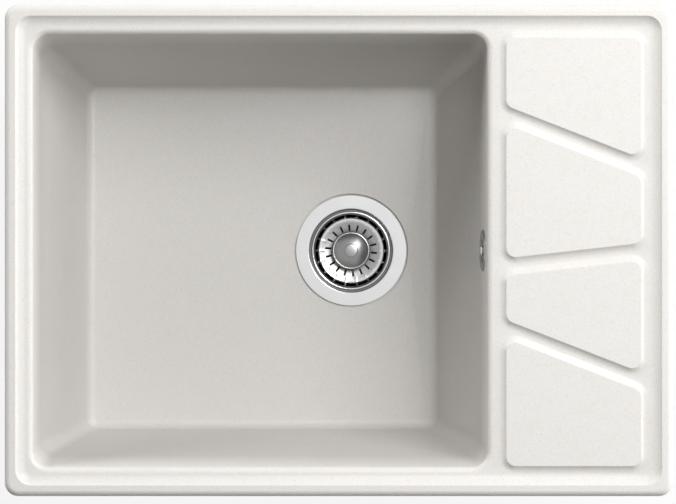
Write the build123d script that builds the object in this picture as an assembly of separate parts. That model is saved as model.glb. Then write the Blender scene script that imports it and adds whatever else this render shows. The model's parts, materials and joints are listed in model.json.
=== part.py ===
from build123d import *
import os
from math import atan2, cos, radians, sin, sqrt, tan

# Kitchen sink with drainboard, cast in one piece from a mineral composite, with its strainer
# waste, overflow and fixing clamps.  All lengths are in millimetres.
# Z = 0 is the worktop that the rim lies on, +X runs along the sink towards the drainboard and
# +Y to its back edge.  The origin is the centre of the rim's underside.

# ---- moulding: rim and tray -------------------------------------------------------------
sink_length = 680.0
sink_width = 500.0
corner_radius = 14.0
rim_height = 10.0            # top of the rim above the worktop
rim_edge_radius = 6.0        # rounding of the rim's outer top edge
rim_land = 11.0              # flat top of the rim, outer edge to inner crease
crease_radius = 16.0         # corner radius of the rim's inner crease
tray_drop = 5.0              # tray below the rim's top
cove_radius = 14.6           # hollow that runs from the crease down to the tray
rim_overlap = 11.0           # ring of the underside that lies on the worktop
underside_radius = 10.0      # corner radius of the step that drops into the cut-out
tray_wall = 9.0              # thickness of the tray and the drainboard
sharp_edge_radius = 0.8      # least rounding on cast edges

# ---- moulding: bowl ---------------------------------------------------------------------
bowl_length = 463.0          # mouth of the bowl along X, before its edge is rounded
bowl_end_margin = 28.5       # rim's outer edge to the mouth, on the left
bowl_side_margin = 29.0      # rim's outer edge to the mouth, front and back
mouth_corner_radius = 16.0
mouth_edge_radius = 6.0
bend_depth = 65.0            # where the steep upper wall meets the lower wall
bend_inset_side = 6.5        # how far each wall has leaned in at the bend
bend_inset_end = 12.5
bend_corner_radius = 14.0
floor_depth = 190.0          # foot of the walls below the tray
floor_inset_side = 50.0      # how far each wall has leaned in at the floor
floor_inset_back = 51.0
floor_inset_front = 35.5
floor_corner_radius = 12.0
floor_blend_radius = 10.0
floor_fall = 3.0             # fall of the floor from the walls to the waste
bowl_wall = 9.0

# ---- moulding: waste hole and overflow hole ---------------------------------------------
waste_distance = 138.5       # centre of the waste from the bowl's right end
waste_hole_radius = 45.0
flange_recess_radius = 59.5
flange_recess_depth = 3.0
waste_boss_radius = 66.0     # thickening under the waste hole
waste_boss_drop = 8.0
overflow_depth = 37.0        # centre of the overflow below the tray
overflow_hole_radius = 15.0
overflow_boss_radius = 24.0  # flat seat behind the overflow hole
overflow_boss_height = 3.0

# ---- drainboard -------------------------------------------------------------------------
board_gap = 19.1             # bowl's mouth to the pads
board_end_margin = 32.0      # pads to the rim's outer edge: right, front and back
board_front_margin = 30.6
board_back_margin = 33.0
pad_height = 3.8
pad_slope = 45.0             # slope of the pads' sides
pad_corner_radius = 9.5
pad_edge_radius = 1.2        # rounding of the pads' upper edges
pad_foot_radius = 9.0
channel_width = 17.2
channel_ends = ((138.0, 84.5), (-16.6, -1.1), (-80.0, -133.5))  # Y at the board's left, right
tap_mark_radius = 17.5       # blind tap hole marks under the outer pads
tap_mark_depth = 6.0
tap_mark_margin = 85.0       # their centres from the sink's front and back edges

# ---- strainer waste ---------------------------------------------------------------------
sheet = 1.0                  # stainless sheet of the dish, the basket and the rosette
flange_gasket_height = 1.5
gasket_margin = 1.0          # gaskets' edges from the flange's edge and the hole's edge
dish_flange_radius = 57.5
dish_mouth_radius = 43.5     # inside of the dish at its top
dish_ledge_radius = 39.0     # inside of the dish below the ledge that carries the basket
dish_ledge_depth = 7.0
dish_foot_radius = 36.5      # inside of the wall where it would meet the floor
dish_depth = 40.5
dish_lip_radius = 1.2        # bend from the flange into the cup
dish_bend_radius = 0.8       # bends of the ledge
dish_foot_blend = 6.0        # bend from the wall to the floor
outlet_ring_inner = 13.0     # windows in the dish's floor
outlet_ring_outer = 22.0
outlet_spokes = 6
outlet_spoke_width = 4.0
body_gasket_height = 3.0
body_wall = 3.0
body_flange_radius = 62.0
body_flange_height = 4.0
body_radius = 47.0           # inside of the plastic body
body_depth = 38.0            # flange's underside to the end of the straight wall
body_cone_height = 12.0
outlet_radius = 23.9         # G 1 1/2 thread, outside
outlet_bore_radius = 19.5
outlet_length = 20.0
spider_height = 9.0
spider_gap = 2.0             # below the dish
spider_arm_width = 5.0
spider_hub_radius = 12.0
spigot_radius = 11.2         # overflow spigots on the waste body and on the elbow
spigot_bore_radius = 8.8
spigot_drop = 17.0           # axis of the waste body's spigot below its flange
spigot_reach = 62.0          # face of that spigot from the waste's axis

# ---- centre screw and its insert --------------------------------------------------------
screw_radius = 6.0
screw_head_radius = 9.0
screw_head_height = 3.2
screw_head_chamfer = 0.6
screw_bore_radius = 3.6
screw_bore_depth = 9.0
screw_length = 30.0          # with its head
waste_insert_radius = 9.0
thread_clearance = 0.05
fit_clearance = 0.02         # round pieces pressed, cast or bonded into their holes

# ---- basket and plug --------------------------------------------------------------------
basket_bead_radius = 1.3     # rolled rim
basket_rim_radius = 40.0     # centre of the rolled rim
basket_wall_top_radius = 38.0
basket_wall_foot_radius = 34.4
basket_wall_depth = 12.5
basket_floor_radius = 19.5
basket_depth = 21.0
basket_bend_radius = 1.5
basket_slots = 18
basket_rib_width = 1.9
wall_slot_top = 1.8          # wall slots, below the centre of the rolled rim
wall_slot_foot = 12.0
floor_slot_width = 1.8
floor_slot_inner = 20.3
floor_slot_outer = 25.8
floor_slot_turn = 5.0        # floor slots lie this many degrees on from the ribs
bush_radius = 7.5
bush_seat_radius = 5.5       # its neck in the basket's floor
bush_height = 9.0
stem_radius = 4.0
stem_clearance = 0.05
stem_tip_radius = 2.0
stem_tip_length = 7.0
stem_tip_chamfer = 0.7
knob_radius = 19.3
knob_edge_height = 2.0
knob_dome_height = 5.5
knob_dome_radius = 32.0
knob_disc_radius = 7.7
knob_disc_height = 0.5
knob_neck_radius = 6.0
knob_neck_height = 2.3
knob_grip = 6.0              # depth of the stem's hole in the knob
plate_radius = 20.0
plate_height = 1.6
seal_radius = 28.0
seal_bore_radius = 11.0
seal_height = 3.6
seal_edge_radius = 1.0
rest_gap = 0.3               # between pieces that rest on each other and move apart

# ---- overflow ---------------------------------------------------------------------------
rosette_radius = 21.8
rosette_rise = 1.6
rosette_slots = 8
rosette_slot_inner = 6.5
rosette_slot_outer = 13.5
rosette_slot_width = 3.0
rosette_hole_radius = 2.7
overflow_gasket_height = 2.5
overflow_gasket_inner = 16.5
overflow_gasket_outer = 23.0
elbow_radius = 21.0
elbow_wall = 2.6
elbow_flange_height = 3.0
elbow_length = 26.0          # seat to the closed end of the elbow's chamber
elbow_blend_radius = 4.0     # rounding of the closed end
elbow_spigot_height = 13.0   # axis of its spigot above the seat
elbow_drop = 34.0            # chamber's axis to the face of its spigot
elbow_hub_radius = 5.5
elbow_hub_gap = 3.5          # hub's end above the seat
overflow_screw_radius = 2.5
overflow_screw_head_radius = 5.0
overflow_screw_head_height = 1.8
overflow_screw_length = 27.0
overflow_insert_radius = 3.6
overflow_insert_length = 9.0

# ---- overflow hose ----------------------------------------------------------------------
hose_radius = 13.0
hose_bore_radius = 9.6
hose_pitch = 5.0
hose_valley = 1.5            # length of the groove between two ribs
hose_ramp = 0.6              # length of a rib's flank
hose_points = ((167.0, -116.4), (166.0, -180.0), (123.0, -226.0))  # X and Z of its bends
collar_radius = 14.5
collar_length = 20.0
collar_edge_radius = 1.0
collar_clearance = 0.05

# ---- fixing clamps ----------------------------------------------------------------------
clamp_edge_distance = 17.0   # axis of each clamp's screw from the rim's outer edge
clamp_boss_length = 28.0
clamp_boss_depth = 18.0      # across the edge
clamp_boss_corner_radius = 3.0
clamp_boss_drop = 22.0       # boss's end below the worktop's top
clamp_insert_radius = 3.5
clamp_insert_length = 12.0
clamp_screw_radius = 2.5
clamp_screw_end = 12.0        # screw's end below the worktop's top
clamp_screw_drop = 58.0      # head's upper face below the worktop's top
clamp_screw_head_radius = 4.6
clamp_screw_head_height = 3.4
clamp_hole_clearance = 0.08
clamp_strip = 2.0
clamp_strip_width = 11.0
clamp_bend_radius = 3.0
clamp_toe_drop = 38.5        # toe's upper face below the worktop's top
clamp_heel = 6.0             # strip's end behind the screw
clamp_heel_radius = 5.0
clamp_toe_radius = 3.0
clamp_foot_reach = 13.0
clamp_toe_start = 22.0
clamp_toe_end = 36.0
clamp_side_spacing = 150.0   # between the two clamps of a short side
clamp_left_distance = 140.0  # front and back clamps from the sink's left and right ends
clamp_right_distance = 230.0

# ---- heights and places that follow from the sizes above --------------------------------
tray_z = rim_height - tray_drop
tray_under_z = tray_z - tray_wall
bowl_left = bowl_end_margin - sink_length / 2
bowl_right = bowl_left + bowl_length
bowl_back = sink_width / 2 - bowl_side_margin
waste_x = bowl_right - waste_distance
board_left = bowl_right + board_gap
board_right = sink_length / 2 - board_end_margin
board_front = board_front_margin - sink_width / 2
board_back = sink_width / 2 - board_back_margin
bend_z = tray_z - bend_depth
floor_z = tray_z - floor_depth
floor_under_z = floor_z - bowl_wall
waste_floor_z = floor_z - floor_fall
flange_seat_z = waste_floor_z - flange_recess_depth
boss_under_z = floor_under_z - waste_boss_drop
waste_boss_height = waste_boss_drop + bowl_wall / 2
dish_flange_z = flange_seat_z + flange_gasket_height
dish_top_z = dish_flange_z + sheet
dish_floor_z = dish_top_z - dish_depth
body_top_z = boss_under_z - body_gasket_height
body_foot_z = body_top_z - body_flange_height - body_depth
spigot_z = body_top_z - body_flange_height - spigot_drop
basket_rim_z = dish_top_z - dish_ledge_depth + basket_bead_radius + rest_gap
basket_floor_z = basket_rim_z - basket_depth
hub_top_z = dish_floor_z - sheet - spider_gap
plate_top_z = basket_floor_z - sheet - rest_gap
seal_foot_z = plate_top_z - plate_height - seal_height
plug_travel = seal_foot_z - dish_floor_z - rest_gap
knob_foot_z = basket_floor_z + bush_height + plug_travel + rest_gap
overflow_seat = bowl_wall + overflow_boss_height
elbow_seat = overflow_seat + overflow_gasket_height
elbow_end = elbow_seat + elbow_length
collar_grip = collar_length / 2
waste_axis = Pos(waste_x, 0, 0)


def rounded_section(left, right, front, back, radius, z):
    """Rounded rectangle between four sides at height z."""
    middle = Pos((left + right) / 2, (front + back) / 2, z)
    return middle * RectangleRounded(right - left, back - front, radius)


def bowl_section(side, front, back, radius, z):
    """Outline of the bowl whose walls have leaned in by these insets from its mouth."""
    return rounded_section(
        bowl_left + side, bowl_right - side, front - bowl_back, bowl_back - back, radius, z
    )


def edges_at(shape, z, left, right, front, back):
    """Edges of a shape that lie at height z with their middles inside a rectangle."""
    found = []
    for edge in shape.edges().filter_by_position(Axis.Z, z - 0.01, z + 0.01):
        middle = edge.position_at(0.5)
        if left < middle.X < right and front < middle.Y < back:
            found.append(edge)
    return found


def ring(outer, inner, bottom, height):
    """Flat ring about the Z axis."""
    tube = Cylinder(outer, height) - Cylinder(inner, height)
    return Pos(0, 0, bottom + height / 2) * tube


def revolved(*points):
    """Solid turned about the Z axis from a profile of (radius, z) points."""
    outline = Polyline(*[(radius, 0, z) for radius, z in points], close=True)
    return revolve(make_face(outline), Axis.Z)


def pressed(points, bends, sheet_side=Side.LEFT):
    """Sheet metal turned about the Z axis: one face runs through (radius, z) points."""
    face_line = FilletPolyline(*points, radius=bends)
    profile = make_face(offset(face_line, sheet, side=sheet_side))
    return revolve(Plane.XZ * profile, Axis.Z)


# ---- sink body --------------------------------------------------------------------------
def tray_slab():
    """Rim and tray: a slab whose top is hollowed to the tray, with a cove all round."""
    rim = extrude(RectangleRounded(sink_length, sink_width, corner_radius), rim_height)
    rim = fillet(rim.edges().group_by(Axis.Z)[-1], rim_edge_radius)
    half_length = sink_length / 2 - rim_overlap
    half_width = sink_width / 2 - rim_overlap
    under = rounded_section(
        -half_length, half_length, -half_width, half_width, underside_radius, tray_under_z
    )
    cove_run = sqrt(cove_radius**2 - (cove_radius - tray_drop) ** 2)
    inset = rim_land + cove_run - cove_radius
    hollow = rounded_section(
        inset - sink_length / 2,
        sink_length / 2 - inset,
        inset - sink_width / 2,
        sink_width / 2 - inset,
        crease_radius + cove_radius - cove_run,
        tray_z,
    )
    hollow = extrude(hollow, 2 * cove_radius)
    hollow = fillet(hollow.edges().group_by(Axis.Z)[0], cove_radius)
    return rim + extrude(under, tray_wall) - hollow


def pad_outlines():
    """The drainboard's four pads, between its ends and three slanting channels."""
    length = board_right - board_left
    borders = [(board_back, board_back)]
    for left_y, right_y in channel_ends:
        half = channel_width / 2 / cos(atan2(right_y - left_y, length))
        borders.append((left_y + half, right_y + half))
        borders.append((left_y - half, right_y - half))
    borders.append((board_front, board_front))
    outlines = []
    for back, front in zip(borders[::2], borders[1::2]):
        corners = [
            (board_left, front[0]),
            (board_right, front[1]),
            (board_right, back[1]),
            (board_left, back[0]),
        ]
        pad = Polygon(*corners, align=None)
        outlines.append(fillet(pad.vertices(), pad_corner_radius))
    return outlines


def with_pads(slab):
    """Adds the raised pads and rounds their feet into the tray."""
    run = pad_height / tan(radians(pad_slope))
    for outline in pad_outlines():
        pad = extrude(offset(outline, run), pad_height, taper=90 - pad_slope)
        pad = fillet(pad.edges().group_by(Axis.Z)[-1], pad_edge_radius)
        slab += Pos(0, 0, tray_z) * pad
    margin = run + mouth_edge_radius / 2
    feet = edges_at(
        slab,
        tray_z,
        board_left - margin,
        board_right + margin,
        board_front - margin,
        board_back + margin,
    )
    return fillet(feet, pad_foot_radius)


def bowl_hollow():
    """Inside of the bowl: steep upper walls, sloping lower walls, a floor that falls to the waste."""
    over = tray_drop / bend_depth
    mouth = bowl_section(
        -over * bend_inset_side,
        -over * bend_inset_end,
        -over * bend_inset_end,
        mouth_corner_radius,
        rim_height,
    )
    bend = bowl_section(
        bend_inset_side, bend_inset_end, bend_inset_end, bend_corner_radius, bend_z
    )
    floor = bowl_section(
        floor_inset_side, floor_inset_front, floor_inset_back, floor_corner_radius, floor_z
    )
    hollow = loft([mouth, bend, floor], ruled=True)
    hollow = fillet(edges_around(hollow, floor_z), floor_blend_radius)
    fall_edge = bowl_section(
        floor_inset_side + floor_blend_radius,
        floor_inset_front + floor_blend_radius,
        floor_inset_back + floor_blend_radius,
        floor_corner_radius,
        floor_z,
    )
    fall_foot = rounded_section(
        waste_x - flange_recess_radius,
        waste_x + flange_recess_radius,
        -flange_recess_radius,
        flange_recess_radius,
        flange_recess_radius - sharp_edge_radius,
        waste_floor_z,
    )
    return hollow + loft([fall_edge, fall_foot], ruled=True)


def bowl_outside():
    """Outside of the bowl, one wall thickness away from its inside."""
    lean = bowl_wall / (floor_depth - bend_depth)
    side, front, back = (
        inset + lean * (inset - bend_inset) - bowl_wall
        for inset, bend_inset in (
            (floor_inset_side, bend_inset_side),
            (floor_inset_front, bend_inset_end),
            (floor_inset_back, bend_inset_end),
        )
    )
    mouth = bowl_section(
        -bowl_wall,
        -bowl_wall,
        -bowl_wall,
        mouth_corner_radius + bowl_wall,
        tray_z - sharp_edge_radius,
    )
    bend = bowl_section(
        bend_inset_side - bowl_wall,
        bend_inset_end - bowl_wall,
        bend_inset_end - bowl_wall,
        bend_corner_radius + bowl_wall,
        bend_z,
    )
    floor = bowl_section(side, front, back, floor_corner_radius + bowl_wall, floor_under_z)
    outside = loft([mouth, bend, floor], ruled=True)
    return fillet(edges_around(outside, floor_under_z), floor_blend_radius + bowl_wall)


def edges_around(shape, z):
    """All edges of a shape that lie at height z."""
    return shape.edges().filter_by_position(Axis.Z, z - 0.01, z + 0.01)


def clamp_places():
    """Place of each clamp: its screw's X and Y, and the direction out of the sink in degrees."""
    side_x = sink_length / 2 - clamp_edge_distance
    end_y = sink_width / 2 - clamp_edge_distance
    places = []
    for y in (-clamp_side_spacing / 2, clamp_side_spacing / 2):
        places.append((side_x, y, 0))
        places.append((-side_x, y, 180))
    for x in (clamp_left_distance - sink_length / 2, sink_length / 2 - clamp_right_distance):
        places.append((x, end_y, 90))
        places.append((x, -end_y, -90))
    return places


def at_clamp(place):
    """Frame of one clamp, on its screw's axis with X pointing out of the sink."""
    x, y, outward = place
    return Pos(x, y, 0) * Rot(0, 0, outward)


def clamp_boss():
    """Block under the tray that holds a clamp's insert."""
    outer = clamp_edge_distance - rim_overlap
    block = Rectangle(clamp_boss_depth, clamp_boss_length)
    block = fillet(block.vertices(), clamp_boss_corner_radius)
    middle = outer - clamp_boss_depth / 2
    return Pos(middle, 0, -clamp_boss_drop) * extrude(block, clamp_boss_drop)


def overflow_plane():
    """Frame of the overflow: on the inside of the bowl's wall, Z into the wall, X down it."""
    lean = atan2(bend_inset_side, bend_depth)
    x = bowl_right - overflow_depth * bend_inset_side / bend_depth
    return Plane(
        origin=(x, 0, tray_z - overflow_depth),
        x_dir=(-sin(lean), 0, -cos(lean)),
        z_dir=(cos(lean), 0, -sin(lean)),
    )


def sink_body():
    """The whole casting."""
    body = with_pads(tray_slab())
    body += bowl_outside()
    body += waste_axis * ring(waste_boss_radius, waste_hole_radius, boss_under_z, waste_boss_height)
    overflow_boss = ring(
        overflow_boss_radius, overflow_hole_radius, bowl_wall / 2, overflow_seat - bowl_wall / 2
    )
    body += overflow_plane() * overflow_boss
    for place in clamp_places():
        body += at_clamp(place) * clamp_boss()
    body -= bowl_hollow()
    mouth_y = bowl_back + sharp_edge_radius
    mouth = edges_at(
        body,
        tray_z,
        bowl_left - sharp_edge_radius,
        bowl_right + sharp_edge_radius,
        -mouth_y,
        mouth_y,
    )
    body = fillet(mouth, mouth_edge_radius)
    body -= waste_axis * ring(waste_hole_radius, 0, boss_under_z, bowl_wall + waste_boss_height)
    body -= waste_axis * ring(flange_recess_radius, 0, flange_seat_z, floor_fall + flange_recess_depth)
    body -= overflow_plane() * ring(overflow_hole_radius, 0, -bowl_wall, 3 * bowl_wall)
    for place in clamp_places():
        hole = ring(clamp_insert_radius, 0, -clamp_boss_drop, clamp_insert_length)
        body -= at_clamp(place) * hole
    mark_x = (board_left + board_right) / 2
    mark_y = sink_width / 2 - tap_mark_margin
    for y in (-mark_y, mark_y):
        body -= Pos(mark_x, y, 0) * ring(tap_mark_radius, 0, tray_under_z, tap_mark_depth)
    return body


# ---- strainer waste ---------------------------------------------------------------------
def flange_gasket():
    return waste_axis * ring(
        dish_flange_radius - gasket_margin,
        waste_hole_radius + gasket_margin,
        flange_seat_z,
        flange_gasket_height,
    )


def strainer_dish():
    """Stainless cup and flange, with a ledge for the basket and windows in its floor."""
    points = [
        (dish_flange_radius, dish_top_z),
        (dish_mouth_radius, dish_top_z),
        (dish_mouth_radius, dish_top_z - dish_ledge_depth),
        (dish_ledge_radius, dish_top_z - dish_ledge_depth),
        (dish_foot_radius, dish_floor_z),
        (screw_radius + thread_clearance, dish_floor_z),
    ]
    bends = [dish_lip_radius, dish_bend_radius, dish_bend_radius, dish_foot_blend]
    dish = pressed(points, bends)
    windows = ring(outlet_ring_outer, outlet_ring_inner, dish_floor_z - 2 * sheet, 4 * sheet)
    spoke = Pos(outlet_ring_outer / 2, 0, dish_floor_z) * Box(
        outlet_ring_outer + outlet_spoke_width, outlet_spoke_width, 6 * sheet
    )
    for spot in PolarLocations(0, outlet_spokes):
        windows -= spot * spoke
    return waste_axis * (dish - windows)


def body_gasket():
    return waste_axis * ring(
        body_flange_radius - gasket_margin, body_radius, body_top_z, body_gasket_height
    )


def waste_body():
    """Plastic pot under the floor: flange, straight wall and overflow spigot."""
    flange_foot = body_top_z - body_flange_height
    height = body_flange_height + body_depth
    outside = ring(body_flange_radius, 0, flange_foot, body_flange_height)
    outside += ring(body_radius + body_wall, 0, body_foot_z, body_depth)
    inside = ring(body_radius, 0, body_foot_z, height)
    spigot_axis = Pos(0, 0, spigot_z) * Rot(0, 90, 0)
    spigot = spigot_axis * ring(spigot_radius, 0, 0, spigot_reach)
    spigot_bore = spigot_axis * ring(spigot_bore_radius, 0, 0, spigot_reach)
    return waste_axis * (outside + spigot - inside - spigot_bore)


def waste_spider():
    """Four arms across the pot, with the hub that holds the brass nut."""
    hub_foot = hub_top_z - spider_height
    arm = Pos(0, 0, hub_foot + spider_height / 2) * Box(
        2 * body_radius + body_wall, spider_arm_width, spider_height
    )
    arms = Rot(0, 0, 45) * arm + Rot(0, 0, -45) * arm
    spider = arms & ring(body_radius, 0, hub_foot, spider_height)
    spider += ring(spider_hub_radius, 0, hub_foot, spider_height)
    return waste_axis * (spider - ring(waste_insert_radius, 0, hub_foot, spider_height))


def waste_funnel():
    """Cone and outlet tail that close the foot of the pot."""
    cone_foot = body_foot_z - body_cone_height
    tail_foot = cone_foot - outlet_length
    return waste_axis * revolved(
        (body_radius, body_foot_z),
        (body_radius + body_wall, body_foot_z),
        (outlet_radius, cone_foot),
        (outlet_radius, tail_foot),
        (outlet_bore_radius, tail_foot),
        (outlet_bore_radius, cone_foot),
    )


def waste_insert():
    return waste_axis * ring(
        waste_insert_radius - thread_clearance,
        screw_radius + thread_clearance,
        hub_top_z - spider_height,
        spider_height,
    )


def centre_screw():
    """Hollow-headed screw that holds the dish, the casting and the pot together."""
    top = dish_floor_z + screw_head_height
    shank = ring(screw_radius, 0, top - screw_length, screw_length)
    head = ring(screw_head_radius, 0, dish_floor_z, screw_head_height)
    head = chamfer(head.edges().group_by(Axis.Z)[-1], screw_head_chamfer)
    bore = ring(screw_bore_radius, 0, top - screw_bore_depth, screw_bore_depth)
    return waste_axis * (shank + head - bore)


# ---- basket and plug --------------------------------------------------------------------
def strainer_basket():
    """Pressed basket: rolled rim, eighteen wall slots and eighteen floor slots."""
    points = [
        (basket_wall_top_radius, basket_rim_z),
        (basket_wall_foot_radius, basket_rim_z - basket_wall_depth),
        (basket_floor_radius, basket_floor_z),
        (bush_seat_radius + fit_clearance, basket_floor_z),
    ]
    basket = pressed(points, [basket_bend_radius, basket_bend_radius])
    bead = Pos(0, 0, basket_rim_z) * Torus(basket_rim_radius, basket_bead_radius)
    slot_top = basket_rim_z - wall_slot_top
    slot_foot = basket_rim_z - wall_slot_foot
    wall_slots = ring(basket_rim_radius, basket_floor_radius, slot_foot, slot_top - slot_foot)
    rib = Pos(basket_rim_radius / 2, 0, slot_foot) * Box(
        basket_rim_radius + basket_rib_width, basket_rib_width, 2 * basket_wall_depth
    )
    floor_slot_length = floor_slot_outer - floor_slot_inner
    floor_slot = Pos(floor_slot_inner + floor_slot_length / 2, 0, basket_floor_z) * Box(
        floor_slot_length, floor_slot_width, basket_wall_depth
    )
    for spot in PolarLocations(0, basket_slots):
        wall_slots -= spot * rib
    basket -= wall_slots
    for spot in PolarLocations(0, basket_slots, start_angle=-floor_slot_turn):
        basket -= spot * floor_slot
    return waste_axis * (basket + bead)


def basket_bush():
    """Guide of the plug's stem, seated in the basket's floor."""
    bush = ring(bush_radius, 0, basket_floor_z, bush_height)
    bush = fillet(bush.edges().group_by(Axis.Z)[-1], sharp_edge_radius)
    bush += ring(bush_seat_radius, 0, basket_floor_z - sheet, sheet)
    bore = ring(stem_radius + stem_clearance, 0, basket_floor_z - sheet, bush_height + sheet)
    return waste_axis * (bush - bore)


def plug_stem():
    shank = ring(stem_radius, 0, plate_top_z, knob_foot_z + knob_grip - plate_top_z)
    tip_height = plate_height + stem_tip_length
    tip = ring(stem_tip_radius, 0, plate_top_z - tip_height, tip_height)
    tip = chamfer(tip.edges().group_by(Axis.Z)[0], stem_tip_chamfer)
    return waste_axis * (shank + tip)


def plug_knob():
    """Mushroom knob: a neck on the stem and a domed cap with a small flat disc on top."""
    cap_z = knob_foot_z + knob_neck_height
    edge_z = cap_z + knob_edge_height
    crown_z = edge_z + knob_dome_height
    dome_centre_z = edge_z - sqrt(knob_dome_radius**2 - knob_radius**2)
    cap = ring(knob_radius, 0, cap_z, crown_z - cap_z)
    cap = chamfer(cap.edges().group_by(Axis.Z)[0], knob_edge_height / 2)
    cap = cap & Pos(0, 0, dome_centre_z) * Sphere(knob_dome_radius)
    neck = ring(knob_neck_radius, 0, knob_foot_z, crown_z - knob_foot_z)
    disc = ring(knob_disc_radius, 0, crown_z, knob_disc_height)
    grip = ring(stem_radius + fit_clearance, 0, knob_foot_z, knob_grip)
    return waste_axis * (cap + neck + disc - grip)


def plug_plate():
    hole = stem_tip_radius + fit_clearance
    return waste_axis * ring(plate_radius, hole, plate_top_z - plate_height, plate_height)


def plug_seal():
    """Rubber ring under the plate, with a rounded lower edge outside."""
    seal = ring(seal_radius, 0, seal_foot_z, seal_height)
    seal = fillet(seal.edges().group_by(Axis.Z)[0], seal_edge_radius)
    return waste_axis * (seal - ring(seal_bore_radius, 0, seal_foot_z, seal_height))


# ---- overflow ---------------------------------------------------------------------------
def overflow_rosette():
    """Pressed grating over the overflow hole, with slots around its screw."""
    slant = sheet * sqrt(2)
    plate = revolved(
        (0, -rosette_rise),
        (rosette_radius - rosette_rise, -rosette_rise),
        (rosette_radius, 0),
        (rosette_radius - slant, 0),
        (rosette_radius - slant - rosette_rise + sheet, sheet - rosette_rise),
        (0, sheet - rosette_rise),
    )
    length = rosette_slot_outer - rosette_slot_inner
    slot = Pos(rosette_slot_inner + length / 2, 0, -rosette_rise) * extrude(
        SlotOverall(length, rosette_slot_width), sheet
    )
    for spot in PolarLocations(0, rosette_slots):
        plate -= spot * slot
    plate -= ring(rosette_hole_radius, 0, -rosette_rise, sheet)
    return overflow_plane() * plate


def rosette_screw():
    shank = ring(overflow_screw_radius, 0, -rosette_rise, overflow_screw_length)
    head = ring(
        overflow_screw_head_radius,
        0,
        -rosette_rise - overflow_screw_head_height,
        overflow_screw_head_height,
    )
    head = fillet(head.edges().group_by(Axis.Z)[0], overflow_screw_head_height / 2)
    return overflow_plane() * (head + shank)


def overflow_gasket():
    return overflow_plane() * ring(
        overflow_gasket_outer, overflow_gasket_inner, overflow_seat, overflow_gasket_height
    )


def overflow_elbow():
    """Chamber behind the wall with a hub for the rosette's screw and a spigot for the hose."""
    chamber = ring(elbow_radius, 0, elbow_seat, elbow_length)
    chamber = fillet(chamber.edges().group_by(Axis.Z)[-1], elbow_blend_radius)
    chamber += ring(overflow_gasket_outer, 0, elbow_seat, elbow_flange_height)
    spigot_axis = Pos(0, 0, elbow_seat + elbow_spigot_height) * Rot(0, 90, 0)
    chamber += spigot_axis * ring(spigot_radius, 0, 0, elbow_drop)
    chamber -= ring(elbow_radius - elbow_wall, 0, elbow_seat, elbow_length - elbow_wall)
    chamber -= spigot_axis * ring(spigot_bore_radius, 0, 0, elbow_drop)
    hub_foot = elbow_seat + elbow_hub_gap
    chamber += ring(elbow_hub_radius, 0, hub_foot, elbow_end - elbow_wall / 2 - hub_foot)
    chamber -= ring(overflow_insert_radius, 0, hub_foot, overflow_insert_length)
    return overflow_plane() * chamber


def overflow_insert():
    return overflow_plane() * ring(
        overflow_insert_radius - fit_clearance,
        overflow_screw_radius + thread_clearance,
        elbow_seat + elbow_hub_gap,
        overflow_insert_length,
    )


# ---- overflow hose ----------------------------------------------------------------------
def hose_route():
    """Middle line of the hose: straight runs joined by tangent arcs."""
    mouth = overflow_plane().from_local_coords((elbow_drop, 0, elbow_seat + elbow_spigot_height))
    points = [(mouth.X, 0, mouth.Z)]
    points += [(x, 0, z) for x, z in hose_points]
    points.append((waste_x + spigot_reach, 0, spigot_z))
    corners = [Vector(*point) for point in points]
    runs = [after - before for before, after in zip(corners, corners[1:])]
    radii = []
    for before, after in zip(runs, runs[1:]):
        turn = before.get_angle(after)
        shorter = min(before.length, after.length)
        radii.append(0.45 * shorter / tan(radians(turn / 2)))
    print("hose radii", [round(radius, 1) for radius in radii])
    return FilletPolyline(*points, radius=radii)


def hose_circle(route, distance, radius):
    """Circle square to the hose's middle line at a distance along it."""
    place = route.position_at(distance, position_mode=PositionMode.LENGTH)
    along = route.tangent_at(distance, position_mode=PositionMode.LENGTH)
    return Plane(origin=place, x_dir=(0, 1, 0), z_dir=along) * Circle(radius)


def overflow_hose():
    """Ribbed hose with plain ends that fit the collars."""
    route = hose_route()
    length = route.length
    ribs = int((length - 2 * (collar_grip + hose_valley)) / hose_pitch)
    start = (length - ribs * hose_pitch) / 2
    sections = [hose_circle(route, 0, spigot_radius)]
    for rib in range(ribs):
        foot = start + rib * hose_pitch + hose_valley / 2
        top = start + (rib + 1) * hose_pitch - hose_valley / 2
        sections.append(hose_circle(route, foot, spigot_radius))
        sections.append(hose_circle(route, foot + hose_ramp, hose_radius))
        sections.append(hose_circle(route, top - hose_ramp, hose_radius))
        sections.append(hose_circle(route, top, spigot_radius))
    sections.append(hose_circle(route, length, spigot_radius))
    outside = loft(sections, ruled=True)
    print("hose length", round(length, 1), "ribs", ribs)
    return outside - sweep(hose_circle(route, 0, hose_bore_radius), path=route)


def hose_collar(middle):
    """Ribbed clamping sleeve over the joint of a spigot and the hose, about the local Z axis."""
    collar = ring(collar_radius, 0, -collar_length / 2, collar_length)
    collar = fillet(collar.edges().filter_by(GeomType.CIRCLE), collar_edge_radius)
    bore = ring(spigot_radius + collar_clearance, 0, -collar_length / 2, collar_length)
    return middle * (collar - bore)


def hose_collar_upper():
    spigot_face = Pos(elbow_drop, 0, elbow_seat + elbow_spigot_height) * Rot(0, 90, 0)
    return hose_collar(overflow_plane().location * spigot_face)


def hose_collar_lower():
    return hose_collar(Pos(waste_x + spigot_reach, 0, spigot_z) * Rot(0, 90, 0))


# ---- fixing clamps ----------------------------------------------------------------------
def clamp_inserts():
    """Eight threaded brass bushes in the bosses."""
    bush = ring(
        clamp_insert_radius - fit_clearance,
        clamp_screw_radius + thread_clearance,
        -clamp_boss_drop,
        clamp_insert_length,
    )
    return Compound(children=[(at_clamp(place) * bush).solid() for place in clamp_places()])


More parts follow.
